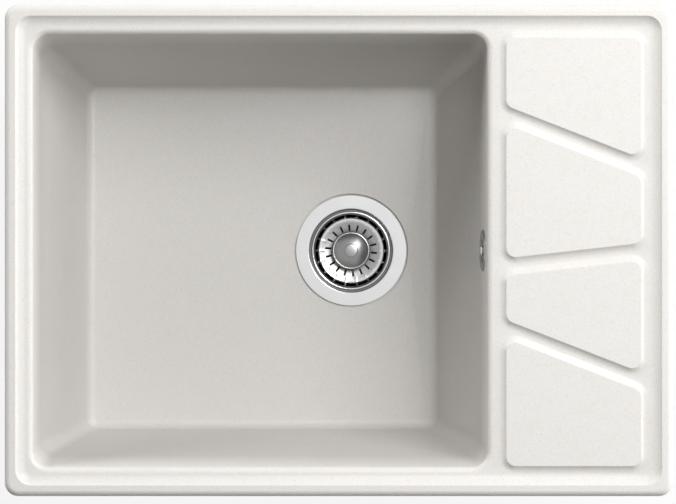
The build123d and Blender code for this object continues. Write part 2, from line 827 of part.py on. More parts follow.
def clamp_screws():
    shank_length = clamp_screw_drop - clamp_screw_end
    head_foot = -clamp_screw_drop - clamp_screw_head_height
    screw = ring(clamp_screw_radius, 0, -clamp_screw_drop, shank_length)
    screw += ring(clamp_screw_head_radius, 0, head_foot, clamp_screw_head_height)
    return Compound(children=[(at_clamp(place) * screw).solid() for place in clamp_places()])


def clamp_bracket(place):
    """Cranked strip that swings under the worktop, at rest along the sink's edge."""
    toe_z = -clamp_toe_drop - clamp_strip
    lower_face = FilletPolyline(
        (-clamp_heel, -clamp_screw_drop),
        (clamp_foot_reach, -clamp_screw_drop),
        (clamp_toe_start, toe_z),
        (clamp_toe_end, toe_z),
        radius=clamp_bend_radius,
    )
    profile = make_face(offset(lower_face, clamp_strip, side=Side.LEFT))
    strip = extrude(Plane.XZ * profile, clamp_strip_width / 2, both=True)
    uprights = strip.edges().filter_by(Axis.Z).group_by(Axis.X)
    strip = fillet(uprights[0], clamp_heel_radius)
    uprights = strip.edges().filter_by(Axis.Z).group_by(Axis.X)
    strip = fillet(uprights[-1], clamp_toe_radius)
    hole = clamp_screw_radius + clamp_hole_clearance
    strip -= ring(hole, 0, -clamp_screw_drop, clamp_strip)
    return at_clamp(place) * Rot(0, 0, -90) * strip


# ---- export -----------------------------------------------------------------------------
shapes = {
    "sink_body": sink_body(),
    "flange_gasket": flange_gasket(),
    "strainer_dish": strainer_dish(),
    "centre_screw": centre_screw(),
    "body_gasket": body_gasket(),
    "waste_body": waste_body(),
    "waste_spider": waste_spider(),
    "waste_funnel": waste_funnel(),
    "waste_insert": waste_insert(),
    "strainer_basket": strainer_basket(),
    "basket_bush": basket_bush(),
    "plug_knob": plug_knob(),
    "plug_stem": plug_stem(),
    "plug_plate": plug_plate(),
    "plug_seal": plug_seal(),
    "overflow_rosette": overflow_rosette(),
    "rosette_screw": rosette_screw(),
    "overflow_gasket": overflow_gasket(),
    "overflow_elbow": overflow_elbow(),
    "overflow_insert": overflow_insert(),
    "overflow_hose": overflow_hose(),
    "hose_collar_upper": hose_collar_upper(),
    "hose_collar_lower": hose_collar_lower(),
    "clamp_inserts": clamp_inserts(),
    "clamp_screws": clamp_screws(),
}
for number, place in enumerate(clamp_places(), start=1):
    shapes[f"clamp_bracket_{number}"] = clamp_bracket(place)

os.makedirs("parts", exist_ok=True)
for name, shape in shapes.items():
    export_step(shape, f"parts/{name}.step")
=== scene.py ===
import json
import math

import bmesh
import bpy
from mathutils import Matrix, Vector


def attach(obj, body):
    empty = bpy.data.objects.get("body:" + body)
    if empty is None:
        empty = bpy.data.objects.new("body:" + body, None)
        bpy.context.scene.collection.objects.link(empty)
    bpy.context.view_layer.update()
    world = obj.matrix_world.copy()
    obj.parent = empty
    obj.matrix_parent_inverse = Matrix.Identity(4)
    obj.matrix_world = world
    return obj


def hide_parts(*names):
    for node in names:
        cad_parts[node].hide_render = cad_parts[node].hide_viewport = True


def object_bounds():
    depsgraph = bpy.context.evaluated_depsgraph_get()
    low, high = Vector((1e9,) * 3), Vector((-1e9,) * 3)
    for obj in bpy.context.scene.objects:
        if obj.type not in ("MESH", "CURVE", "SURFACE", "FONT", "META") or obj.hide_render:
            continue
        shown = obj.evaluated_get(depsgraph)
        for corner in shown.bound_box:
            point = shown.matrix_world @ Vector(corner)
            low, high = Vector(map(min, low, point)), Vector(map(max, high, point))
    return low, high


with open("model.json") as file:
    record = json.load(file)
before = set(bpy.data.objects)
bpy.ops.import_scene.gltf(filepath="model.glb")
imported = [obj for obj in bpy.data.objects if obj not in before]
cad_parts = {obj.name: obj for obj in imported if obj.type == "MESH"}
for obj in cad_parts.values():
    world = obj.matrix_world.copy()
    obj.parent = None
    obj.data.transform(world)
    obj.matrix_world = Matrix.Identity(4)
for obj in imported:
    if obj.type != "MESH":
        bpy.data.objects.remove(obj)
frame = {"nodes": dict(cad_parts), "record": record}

cadBounds = [list(corner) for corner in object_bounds()]
nodeObjects = frame["nodes"]
print("frame loaded", len(nodeObjects), "nodes")


# Shader maths: a socket that adds Math nodes when it is used in an expression.
class Value:
    def __init__(self, tree, socket):
        self.tree = tree
        self.socket = socket

    def combine(self, operation, first, second=None, clamp=False):
        node = self.tree.nodes.new("ShaderNodeMath")
        node.operation = operation
        node.use_clamp = clamp
        for slot, term in zip(node.inputs, (first, second)):
            if isinstance(term, Value):
                self.tree.links.new(term.socket, slot)
            elif term is not None:
                slot.default_value = term
        return Value(self.tree, node.outputs[0])

    def __add__(self, other):
        return self.combine("ADD", self, other)

    def __radd__(self, other):
        return self.combine("ADD", other, self)

    def __sub__(self, other):
        return self.combine("SUBTRACT", self, other)

    def __rsub__(self, other):
        return self.combine("SUBTRACT", other, self)

    def __mul__(self, other):
        return self.combine("MULTIPLY", self, other)

    def __rmul__(self, other):
        return self.combine("MULTIPLY", other, self)

    def __truediv__(self, other):
        return self.combine("DIVIDE", self, other)

    def __gt__(self, other):
        return self.combine("GREATER_THAN", self, other)

    def __lt__(self, other):
        return self.combine("LESS_THAN", self, other)

    def max(self, other):
        return self.combine("MAXIMUM", self, other)

    def clamp(self):
        return self.combine("ADD", self, 0.0, clamp=True)


# A node material and the few ways in which the materials below add nodes to it.
class Finish:
    def __init__(self, name, world=None):
        if world:
            self.target = world
        else:
            self.target = bpy.data.materials.new(name)
        self.target.use_nodes = True
        self.tree = self.target.node_tree
        self.tree.nodes.clear()

    def add(self, kind, settings=None, values=None, output=0):
        node = self.tree.nodes.new(kind)
        for key, value in (settings or {}).items():
            setattr(node, key, value)
        for key, value in (values or {}).items():
            if isinstance(value, Value):
                self.tree.links.new(value.socket, node.inputs[key])
            else:
                node.inputs[key].default_value = value
        return Value(self.tree, node.outputs[output])

    def place(self):
        return self.add("ShaderNodeTexCoord", output="Object")

    def noise(self, scale, detail=2.0, roughness=0.5, vector=None):
        values = {"Vector": vector or self.place(), "Scale": scale, "Detail": detail, "Roughness": roughness}
        return self.add("ShaderNodeTexNoise", values=values)

    def specks(self, scale):
        return self.add("ShaderNodeTexVoronoi", values={"Vector": self.place(), "Scale": scale})

    def height(self):
        return self.add("ShaderNodeSeparateXYZ", values={"Vector": self.place()}, output=2)

    def whiteRays(self):
        seen = self.add("ShaderNodeLightPath", output="Is Camera Ray")
        mirrored = self.add("ShaderNodeLightPath", output="Is Glossy Ray")
        through = self.add("ShaderNodeLightPath", output="Is Transmission Ray")
        return seen.max(mirrored).max(through)

    def mix(self, factor, first, second):
        values = {0: factor, 6: first, 7: second}
        return self.add("ShaderNodeMix", {"data_type": "RGBA"}, values, output=2)

    def bump(self, height, strength, distance):
        values = {"Height": height, "Strength": strength, "Distance": distance}
        return self.add("ShaderNodeBump", values=values)

    def surface(self, **values):
        named = {key.replace("_", " "): value for key, value in values.items()}
        return self.finish(self.add("ShaderNodeBsdfPrincipled", values=named))

    def finish(self, shader, kind="ShaderNodeOutputMaterial"):
        output = self.tree.nodes.new(kind)
        self.tree.links.new(shader.socket, output.inputs["Surface"])
        return self.target


# Materials. Scales are per metre, and heights and depths are in metres.
composite = {
    "pale": (0.83, 0.815, 0.785, 1), "shade": (0.74, 0.705, 0.665, 1), "grainScale": 620.0,
    "grainContrast": 1.6, "grainShade": 0.28,
    "warm": (0.60, 0.47, 0.40, 1), "warmScale": 340.0, "warmGrain": 0.47, "warmShare": 0.40,
    "grey": (0.56, 0.55, 0.53, 1), "greyScale": 476.0, "greyGrain": 0.50, "greyShare": 0.25,
    "fleckSize": 0.20, "mottleScale": 75.0, "mottleContrast": 3.0, "mottleShare": 0.10,
    # Painted shade: below the deck the colour darkens to the bowl's level and lightens a little towards the
    # floor
    "deckHeight": 0.003, "bowlHeight": -0.050, "floorHeight": -0.185, "bowlShadeLevel": 0.74, "floorShadeLevel": 0.77,
    "roughness": 0.42, "grainRoughness": 0.25, "cloudScale": 38.0, "cloudRoughness": 0.12,
    "reliefStrength": 0.12, "reliefDepth": 0.0004}


# Cast composite: fine grain, warm and grey flecks, a soft warm mottle, and painted shade that darkens it in
# the bowl
def makeComposite():
    finish = Finish("mineralComposite")
    grain = finish.noise(composite["grainScale"], 3.0, 0.7)
    mottle = finish.noise(composite["mottleScale"], 4.0, 0.7)
    cloud = finish.noise(composite["cloudScale"])
    warmFlecks = finish.specks(composite["warmScale"]) < composite["fleckSize"]
    warmFlecks = warmFlecks * (grain > composite["warmGrain"])
    greyFlecks = finish.specks(composite["greyScale"]) < composite["fleckSize"]
    greyFlecks = greyFlecks * (grain < composite["greyGrain"])
    shading = (grain - 0.5) * composite["grainContrast"] + composite["grainShade"]
    colour = finish.mix(shading, composite["pale"], composite["shade"])
    warmth = ((mottle - 0.5) * composite["mottleContrast"]).clamp() * composite["mottleShare"]
    colour = finish.mix(warmth, colour, composite["warm"])
    colour = finish.mix(warmFlecks * composite["warmShare"], colour, composite["warm"])
    colour = finish.mix(greyFlecks * composite["greyShare"], colour, composite["grey"])
    height = finish.height()
    bowl = composite["bowlHeight"]
    deck = ((height - bowl) / (composite["deckHeight"] - bowl)).clamp()
    low = ((bowl - height) / (bowl - composite["floorHeight"])).clamp()
    rise = composite["floorShadeLevel"] - composite["bowlShadeLevel"]
    # Painted shade: strongest at the bowl's height, a little less at the floor, none on the deck
    paintedShadeDulling = (1.0 - deck) * (1.0 - composite["bowlShadeLevel"]) - low * rise
    colour = finish.mix(paintedShadeDulling, colour, (0.0, 0.0, 0.0, 1))
    uneven = (grain - 0.5) * composite["grainRoughness"] + (cloud - 0.5) * composite["cloudRoughness"]
    relief = finish.bump(grain, composite["reliefStrength"], composite["reliefDepth"])
    return finish.surface(Base_Color=colour, Roughness=uneven + composite["roughness"], Normal=relief)


steel = {"lineScale": 900.0, "lineStretch": (1.0, 1.0, 6.0), "lineDepth": 0.00002, "smearScale": 70.0,
         "smearShade": 0.90, "unevenness": 0.08}


def makeSteel(name, shade, roughness, lineStrength=0.3):
    finish = Finish(name)
    values = {"Vector": finish.place(), "Scale": steel["lineStretch"]}
    stretch = finish.add("ShaderNodeMapping", values=values)
    lines = finish.noise(steel["lineScale"], 4.0, 0.6, stretch)
    smear = finish.noise(steel["smearScale"], 3.0, 0.6)
    darker = tuple(part * steel["smearShade"] for part in shade[:3]) + (1,)
    colour = finish.mix(smear, shade, darker)
    level = (lines - 0.5) * steel["unevenness"] + (smear - 0.5) * steel["unevenness"] + roughness
    relief = finish.bump(lines, lineStrength, steel["lineDepth"])
    return finish.surface(Base_Color=colour, Metallic=1.0, Roughness=level, Normal=relief)


strainerSteel = {"pale": (0.62, 0.62, 0.62, 1), "roughness": 0.17, "unevenness": 0.04, "lineScale": 700.0,
                 "lineStrength": 0.15}


# Strainer steel: pale steel above an edge and, below it, a painted shade: a darker steel that is also
# rougher. A fade below nothing turns that round. The look holds the shade, the edge's height, the fade's
# length and the shade's dulling.
def makeShadedStrainerSteel(name, look):
    finish = Finish(name)
    shade = look["shade"]
    lines = finish.noise(strainerSteel["lineScale"], 4.0, 0.6)
    smear = finish.noise(steel["smearScale"], 3.0, 0.6)
    # Painted shade: below the edge the pale steel is mixed to the darker shade
    depth = ((look["edge"] - finish.height()) / look["fade"]).clamp()
    colour = finish.mix(depth, strainerSteel["pale"], (shade, shade, shade, 1))
    uneven = (lines - 0.5) * strainerSteel["unevenness"] + (smear - 0.5) * strainerSteel["unevenness"]
    level = uneven + depth * look["paintedShadeDulling"] + strainerSteel["roughness"]
    relief = finish.bump(lines, strainerSteel["lineStrength"], steel["lineDepth"])
    return finish.surface(Base_Color=colour, Metallic=1.0, Roughness=level, Normal=relief)


zinc = {"colour": (0.60, 0.62, 0.64, 1), "dull": (0.43, 0.45, 0.48, 1), "spangleScale": 420.0,
        "stainScale": 90.0, "stainShare": 0.7, "roughness": 0.22, "stainRoughness": 0.30}


def makeZinc():
    finish = Finish("zincPlate")
    spangle = finish.specks(zinc["spangleScale"])
    stain = finish.noise(zinc["stainScale"], 4.0, 0.65)
    dulled = stain * zinc["stainShare"] + spangle * (1.0 - zinc["stainShare"])
    colour = finish.mix(dulled, zinc["colour"], zinc["dull"])
    level = stain * zinc["stainRoughness"] + zinc["roughness"]
    relief = finish.bump(stain, 0.15, 0.0002)
    return finish.surface(Base_Color=colour, Metallic=1.0, Roughness=level, Normal=relief)


brass = {"colour": (0.78, 0.56, 0.26, 1), "dull": (0.55, 0.38, 0.18, 1), "turningScale": 500.0,
         "tarnishScale": 70.0, "roughness": 0.2, "tarnishRoughness": 0.25}


def makeBrass():
    finish = Finish("turnedBrass")
    turning = finish.noise(brass["turningScale"], 3.0)
    tarnish = finish.noise(brass["tarnishScale"], 3.0)
    colour = finish.mix(tarnish, brass["colour"], brass["dull"])
    level = tarnish * brass["tarnishRoughness"] + brass["roughness"]
    relief = finish.bump(turning, 0.2, 0.0001)
    return finish.surface(Base_Color=colour, Metallic=1.0, Roughness=level, Normal=relief)


plastic = {"broadScale": 24.0, "broadShare": 0.6, "fineRoughness": 0.2, "broadRoughness": 0.15}


# Moulded plastic and rubber: a colour that drifts towards its shade, with a fine grain
def makePlastic(name, colour, shade, roughness, scale=350.0, strength=0.15):
    finish = Finish(name)
    fine = finish.noise(scale, 3.0, 0.6)
    broad = finish.noise(plastic["broadScale"])
    drift = broad * plastic["broadShare"] + fine * (1.0 - plastic["broadShare"])
    mixed = finish.mix(drift, colour, shade)
    uneven = (fine - 0.5) * plastic["fineRoughness"] + (broad - 0.5) * plastic["broadRoughness"]
    level = uneven + roughness
    relief = finish.bump(fine, strength, 0.0002)
    return finish.surface(Base_Color=mixed, Roughness=level, Normal=relief)


colours = {
    "steel": (0.62, 0.62, 0.615, 1), "plainSteel": (0.50, 0.50, 0.50, 1),
    "rubber": (0.022, 0.022, 0.022, 1), "rubberShade": (0.034, 0.033, 0.032, 1),
    "white": (0.78, 0.78, 0.76, 1), "whiteShade": (0.72, 0.72, 0.70, 1),
    "hose": (0.46, 0.47, 0.48, 1), "hoseShade": (0.38, 0.39, 0.41, 1),
    "sleeve": (0.028, 0.028, 0.03, 1), "sleeveShade": (0.045, 0.045, 0.045, 1)}
materials = {
    "mineral_composite": makeComposite(),
    "polished_steel": makeSteel("polishedSteel", colours["steel"], 0.28),
    "brushed_steel": makeSteel("plainSteel", colours["plainSteel"], 0.38, 0.6),
    "zinc_steel": makeZinc(),
    "brass": makeBrass(),
    "black_rubber": makePlastic("blackRubber", colours["rubber"], colours["rubberShade"], 0.62),
    "white_plastic": makePlastic("whitePlastic", colours["white"], colours["whiteShade"], 0.42, 260.0, 0.1),
    "grey_plastic": makePlastic("greyHosePlastic", colours["hose"], colours["hoseShade"], 0.48),
    "black_plastic": makePlastic("blackPlastic", colours["sleeve"], colours["sleeveShade"], 0.45),
}
slotOf = {entry["node"]: entry["material_slot"] for entry in frame["record"]["subparts"]}
for name, node in nodeObjects.items():
    node.data.materials.clear()
    node.data.materials.append(materials[slotOf[name]])
print("materials made", len(materials))


# Meshes. Sizes of pieces are in millimetres; linkMesh turns them into metres.
def linkMesh(name, vertices, faces, finish, matrix=None):
    mesh = bpy.data.meshes.new(name)
    mesh.from_pydata(vertices, [], faces)
    mesh.transform(Matrix.Scale(0.001, 4) @ (matrix or Matrix.Identity(4)))
    mesh.materials.append(finish)
    piece = bpy.data.objects.new(name, mesh)
    bpy.context.scene.collection.objects.link(piece)
    return piece


# Smooth shading up to an angle, weighted by area so that flats stay flat beside their rounded edges
def smooth(piece, degrees):
    piece.data.polygons.foreach_set("use_smooth", [True] * len(piece.data.polygons))
    piece.data.set_sharp_from_angle(angle=math.radians(degrees))
    flats = piece.modifiers.new("flats", "WEIGHTED_NORMAL")
    flats.keep_sharp = True
    return bake(piece)


def cleanUp(piece, distance, outwards=False):
    shape = bmesh.new()
    shape.from_mesh(piece.data)
    bmesh.ops.remove_doubles(shape, verts=shape.verts, dist=distance)
    if outwards:
        bmesh.ops.recalc_face_normals(shape, faces=shape.faces)
    shape.to_mesh(piece.data)
    shape.free()
    return piece


def bake(piece):
    depsgraph = bpy.context.evaluated_depsgraph_get()
    mesh = bpy.data.meshes.new_from_object(piece.evaluated_get(depsgraph), depsgraph=depsgraph)
    piece.modifiers.clear()
    piece.data = mesh
    return piece


# Rounds the edges that turn by more than 30 degrees
def softened(piece, width):
    bevel = piece.modifiers.new("edges", "BEVEL")
    bevel.width = width * 0.001
    bevel.segments = 2
    bevel.limit_method = "ANGLE"
    bevel.angle_limit = math.radians(30)
    bevel.use_clamp_overlap = True
    bevel.harden_normals = False
    return bake(piece)


# Gives a sheet its thickness: on the side that its faces point to, or with an offset of -1 on the other
def thickened(piece, thickness, offset=1.0):
    solid = piece.modifiers.new("sheet", "SOLIDIFY")
    solid.thickness = thickness * 0.001
    solid.offset = offset
    solid.use_even_offset = True
    return bake(piece)


def settle(piece, body, slot, *replaced):
    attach(piece, body)
    if replaced:
        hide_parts(*replaced)
    return piece


# Copy of a CAD node with its triangles welded, so that its rounded edges shade smoothly
def weldedCopy(node, name, body, bevel=0.0):
    slotName = slotOf[node]
    mesh = nodeObjects[node].data.copy()
    mesh.materials.clear()
    mesh.materials.append(materials[slotName])
    piece = bpy.data.objects.new(name, mesh)
    bpy.context.scene.collection.objects.link(piece)
    if "custom_normal" in mesh.attributes:
        mesh.attributes.remove(mesh.attributes["custom_normal"])
    cleanUp(piece, 2e-6)
    if bevel:
        softened(piece, bevel)
    smooth(piece, 32)
    return settle(piece, body, slotName, node)


# Line of (across, up) points with its inner corners rounded to the given radii
def rounded(points, radii, steps):
    corners = [Vector(point) for point in points]
    line = [corners[0]]
    for before, corner, after, radius in zip(corners, corners[1:], corners[2:], radii):
        back = (before - corner).normalized()
        ahead = (after - corner).normalized()
        half = back.angle(ahead) / 2
        reach = radius / math.tan(half)
        middle = corner + (back + ahead).normalized() * radius / math.sin(half)
        start = corner + back * reach - middle
        end = corner + ahead * reach - middle
        turn = start.angle_signed(end)
        for step in range(steps + 1):
            spoke = start.copy()
            spoke.rotate(Matrix.Rotation(-turn * step / steps, 2))
            line.append(middle + spoke)
    return [tuple(point) for point in line + [corners[-1]]]


# Solid turned about the Z axis from a closed profile of (radius, height) points, which a wave may move
# in or out
def turned(name, profile, finish, matrix, steps, wave=None):
    vertices = []
    faces = []
    count = len(profile)
    for step in range(steps):
        angle = 2 * math.pi * step / steps
        for radius, height in profile:
            reach = radius + (wave(step, radius, height) if wave else 0)
            vertices.append((reach * math.cos(angle), reach * math.sin(angle), height))
    for step in range(steps):
        following = (step + 1) % steps
        for corner in range(count):
            nextCorner = (corner + 1) % count
            faces.append((step * count + corner, following * count + corner,
                          following * count + nextCorner, step * count + nextCorner))
    piece = linkMesh(name, vertices, faces, finish, matrix)
    return cleanUp(piece, 1e-7, True)


# Geometry Nodes: a copy of a piece on each point of a mesh, each turned further about the Z axis
def makeCopier():
    tree = bpy.data.node_groups.new("copiesOnPoints", "GeometryNodeTree")
    sockets = {}
    for label, kind in (("Points", "Geometry"), ("Copy", "Object"), ("Turn", "Float"), ("Weld", "Float"),
                        ("Finish", "Material")):
        sockets[label] = tree.interface.new_socket(label, in_out="INPUT", socket_type="NodeSocket" + kind)
    tree.interface.new_socket("Copies", in_out="OUTPUT", socket_type="NodeSocketGeometry")
    start = tree.nodes.new("NodeGroupInput")
    end = tree.nodes.new("NodeGroupOutput")
    source = tree.nodes.new("GeometryNodeObjectInfo")
    copies = tree.nodes.new("GeometryNodeInstanceOnPoints")
    index = tree.nodes.new("GeometryNodeInputIndex")
    turn = tree.nodes.new("ShaderNodeMath")
    angles = tree.nodes.new("ShaderNodeCombineXYZ")
    real = tree.nodes.new("GeometryNodeRealizeInstances")
    weld = tree.nodes.new("GeometryNodeMergeByDistance")
    paint = tree.nodes.new("GeometryNodeSetMaterial")
    turn.operation = "MULTIPLY"
    for outlet, inlet in ((start.outputs["Points"], copies.inputs["Points"]),
                          (start.outputs["Copy"], source.inputs["Object"]),
                          (source.outputs["Geometry"], copies.inputs["Instance"]),
                          (index.outputs[0], turn.inputs[0]),
                          (start.outputs["Turn"], turn.inputs[1]),
                          (turn.outputs[0], angles.inputs["Z"]),
                          (angles.outputs[0], copies.inputs["Rotation"]),
                          (copies.outputs[0], real.inputs[0]),
                          (real.outputs[0], weld.inputs["Geometry"]),
                          (start.outputs["Weld"], weld.inputs["Distance"]),
                          (weld.outputs[0], paint.inputs["Geometry"]),
                          (start.outputs["Finish"], paint.inputs["Material"]),
                          (paint.outputs[0], end.inputs[0])):
        tree.links.new(outlet, inlet)
    return tree, {label: socket.identifier for label, socket in sockets.items()}


copierTree, copierSockets = makeCopier()


def copied(piece, places, turn=0.0, weld=0.0, matrix=None):
    name = piece.name
    piece.name = name + "Copy"
    points = linkMesh(name, places, [], piece.data.materials[0])
    copies = points.modifiers.new("copies", "NODES")
    copies.node_group = copierTree
    copies[copierSockets["Copy"]] = piece
    copies[copierSockets["Turn"]] = math.radians(turn)
    copies[copierSockets["Weld"]] = weld * 0.001
    copies[copierSockets["Finish"]] = piece.data.materials[0]
    bake(points)
    bpy.data.objects.remove(piece)
    if matrix:
        points.data.transform(Matrix.Scale(0.001, 4) @ matrix @ Matrix.Scale(1000, 4))
    return points


def ringOf(piece, count, matrix, weld):
    return copied(piece, [(0, 0, 0)] * count, 360 / count, weld, matrix)


# One sector of a pressed sheet: rows run down its profile, columns round its axis
def sector(name, rows, columns, isOpen, finish):
    vertices = []
    faces = []
    width = len(columns(0, rows[0][0]))
    for row, (radius, height) in enumerate(rows):
        for angle, lift in columns(row, radius):
            turn = math.radians(angle)
            vertices.append((radius * math.cos(turn), radius * math.sin(turn), height + lift))
    for row in range(len(rows) - 1):
        for column in range(width - 1):
            if not isOpen(row, column):
                corner = row * width + column
                faces.append((corner, corner + width, corner + width + 1, corner + 1))
    return linkMesh(name, vertices, faces, finish)


# Places of the strainer: its axis, the top of the dish's flange and the middle of the basket's rolled rim
waste = {"x": 13.0, "flangeTop": -188.5, "basketRim": -193.9}
wasteAxis = Matrix.Translation((waste["x"], 0, 0))


def atWaste(height):
    return Matrix.Translation((waste["x"], 0, height))


# Sink body
weldedCopy("sink_body", "sinkBody", "sink")

# Strainer dish: flange, ledge, cup and six outlet windows, pressed from one sheet
dish = {"sheet": 1.0, "spokes": 6, "spokeWidth": 4.0,
        "windowInner": 13.0, "windowOuter": 22.0, "windowSteps": 12,
        "profile": [(57.5, 0), (43.5, 0), (43.5, -7.0), (39.0, -7.0), (36.5, -40.5), (6.05, -40.5)],
        "bends": [1.2, 0.8, 0.8, 6.0], "edgeWidth": 0.18,
        # The look paints the ledge and cup below the flange a near black steel: painted shade in the recess
        "look": {"shade": 0.12, "edge": -0.1895, "fade": 0.003, "paintedShadeDulling": 0.15}}


# Adds a point to a falling line of (radius, height) points at each of the given radii
def splitAt(rows, radii):
    line = list(rows)
    for radius in radii:
        for index, (first, second) in enumerate(zip(line, line[1:])):
            if min(first[0], second[0]) < radius < max(first[0], second[0]):
                share = (radius - first[0]) / (second[0] - first[0])
                line.insert(index + 1, (radius, first[1] + share * (second[1] - first[1])))
                break
    return line


def makeDish():
    rows = rounded(dish["profile"], dish["bends"], 6)
    floorRow = len(rows) - 2
    rows = rows[:floorRow + 1] + splitAt(rows[floorRow:], (dish["windowOuter"], dish["windowInner"]))[1:]
    windowRow = next(row for row, (radius, height) in enumerate(rows) if radius == dish["windowOuter"])
    step = 360 / dish["spokes"]
    count = dish["windowSteps"]

    def columns(row, radius):
        spoke = math.degrees(math.asin(dish["spokeWidth"] / 2 / max(radius, dish["windowInner"])))
        inner = [spoke + (step - 2 * spoke) * share / count for share in range(count + 1)]
        return [(angle, 0) for angle in [0] + inner + [step]]

    def isOpen(row, column):
        return row == windowRow and 0 < column <= count

    piece = sector("strainerDish", rows, columns, isOpen, makeShadedStrainerSteel("dishSteel", dish["look"]))
    piece = ringOf(piece, dish["spokes"], atWaste(waste["flangeTop"]), 0.01)
    thickened(piece, dish["sheet"])
    softened(piece, dish["edgeWidth"])
    smooth(piece, 30)
    return settle(piece, "sink", "polished_steel", "strainer_dish")


makeDish()

# Strainer basket: rolled rim, wall slots between thin ribs, and slots in its sloping floor.
# Heights are below the middle of the rolled rim, and the plain angles part the floor between rib and slot.
basket = {
    "sheet": 0.9, "copies": 18, "edgeWidth": 0.14,
    "beadCentre": 40.0, "beadRadius": 1.3, "beadStart": -120.0, "beadTurn": 285.0, "beadSteps": 14,
    "wallTop": (38.05, -1.0), "wallRadius": 38.0, "wallLean": 0.30,
    "wallHeights": (-1.8, -2.3, -3.2, -6.0, -8.5),
    "wallFoot": [(35.05, -10.4), (34.7, -11.8), (34.2, -12.9)], "bend": (33.6, -13.6),
    "floorRadii": (32.8, 31.5, 29.8, 28.4, 27.2, 24.4, 21.6, 20.4, 19.4),
    "floorEdge": 33.0, "floorTop": -13.8, "floorSlope": 0.24, "floorCurve": 0.0059,
    "well": [(18.2, -16.8), (16.6, -19.0), (14.6, -20.6), (12.0, -21.0), (5.52, -21.0)],
    "rib": 1.0, "ribInner": 30.0, "flare": {0: 0.9, 1: 0.25}, "plainAngles": [4.5, 7.5, 10.0],
    "slot": 1.0, "slotInner": 20.0, "slotAngle": 14.5, "slotStart": 27.2, "slotRows": 3,
    "ridge": 0.45, "ridgeStart": 2, "ridgeShape": (0.7, 1.0, 0.9, 0.4),
    # The look paints the basket's sloping floor and well a darker steel than its wall and rim: painted shade
    "look": {"shade": 0.32, "edge": -0.2079, "fade": 0.0006, "paintedShadeDulling": 0.13}}


def basketRows():
    rows = []
    for step in range(basket["beadSteps"] + 1):
        turn = math.radians(basket["beadStart"] + basket["beadTurn"] * step / basket["beadSteps"])
        across = basket["beadCentre"] + basket["beadRadius"] * math.cos(turn)
        rows.append((across, basket["beadRadius"] * math.sin(turn)))
    rows.append(basket["wallTop"])
    wallStart = len(rows)
    rows += [(basket["wallRadius"] + basket["wallLean"] * height, height) for height in basket["wallHeights"]]
    rows += basket["wallFoot"]
    wallEnd = len(rows) - 1
    rows.append(basket["bend"])
    for radius in basket["floorRadii"]:
        inwards = basket["floorEdge"] - radius
        fall = inwards * basket["floorSlope"] - inwards * inwards * basket["floorCurve"]
        rows.append((radius, basket["floorTop"] - fall))
    floorStart = next(row for row, (radius, height) in enumerate(rows) if radius == basket["slotStart"])
    return rows + basket["well"], wallStart, wallEnd, floorStart


def makeBasket():
    rows, wallStart, wallEnd, floorStart = basketRows()
    step = 360 / basket["copies"]
    slotColumn = 2 + len(basket["plainAngles"])
    ridges = dict(enumerate(basket["ridgeShape"], wallEnd + basket["ridgeStart"]))

    def columns(row, radius):
        depth = min(row - wallStart, wallEnd - row)
        ribWidth = basket["rib"] + basket["flare"].get(depth, 0)
        rib = math.degrees(math.asin(ribWidth / max(radius, basket["ribInner"])))
        half = math.degrees(math.asin(basket["slot"] / max(radius, basket["slotInner"])))
        slot = [basket["slotAngle"] - half, basket["slotAngle"] + half]
        lift = basket["ridge"] * ridges.get(row, 0)
        inner = [(angle, 0) for angle in [rib] + basket["plainAngles"] + slot + [step - rib]]
        return [(0, lift)] + inner + [(step, lift)]

    def isOpen(row, column):
        wall = wallStart <= row < wallEnd and 0 < column < slotColumn + 2
        floor = floorStart <= row < floorStart + basket["slotRows"] and column == slotColumn
        return wall or floor

    piece = sector("strainerBasket", rows, columns, isOpen, makeShadedStrainerSteel("basketSteel", basket["look"]))
    piece = ringOf(piece, basket["copies"], atWaste(waste["basketRim"]), 0.005)
    thickened(piece, basket["sheet"])
    softened(piece, basket["edgeWidth"])
    smooth(piece, 32)
    return settle(piece, "basket", "polished_steel", "strainer_basket")


makeBasket()

# Plug: domed knob on its neck. Points of its rim, groove and disc are (inwards, up) from the knob's or the
# disc's edge.
plug = {"foot": -198.3, "knobRadius": 19.3, "neckRadius": 6.0, "edgeBottom": -196.0, "edgeTop": -194.0,
        "rim": [(1.0, -2.0), (0.3, -1.7), (0.0, -1.2), (0.0, -0.7), (0.12, -0.4), (0.4, -0.15), (0.8, -0.05)],
        "domeRadius": 32.0, "domeEdge": 18.1, "domeSteps": 19, "crown": -188.5, "top": -188.0,
        "discRadius": 6.9, "grooveEdge": 0.35, "groove": [(-0.12, -0.75), (0.0, -0.65)],
        "disc": [(0.1, -0.5), (0.5, -0.34), (1.5, -0.22), (2.7, -0.13), (4.1, -0.05), (5.5, -0.01),
                 (6.9, 0.0)],
        "stemHole": 4.02, "stemDepth": 6.0,
        # The look paints the knob's dome a darker steel as painted shade, and the pale ring left round its
        # edge is a painted highlight line
        "look": {"shade": 0.25, "edge": -0.19418, "fade": -0.0002, "paintedShadeDulling": 0.14}}


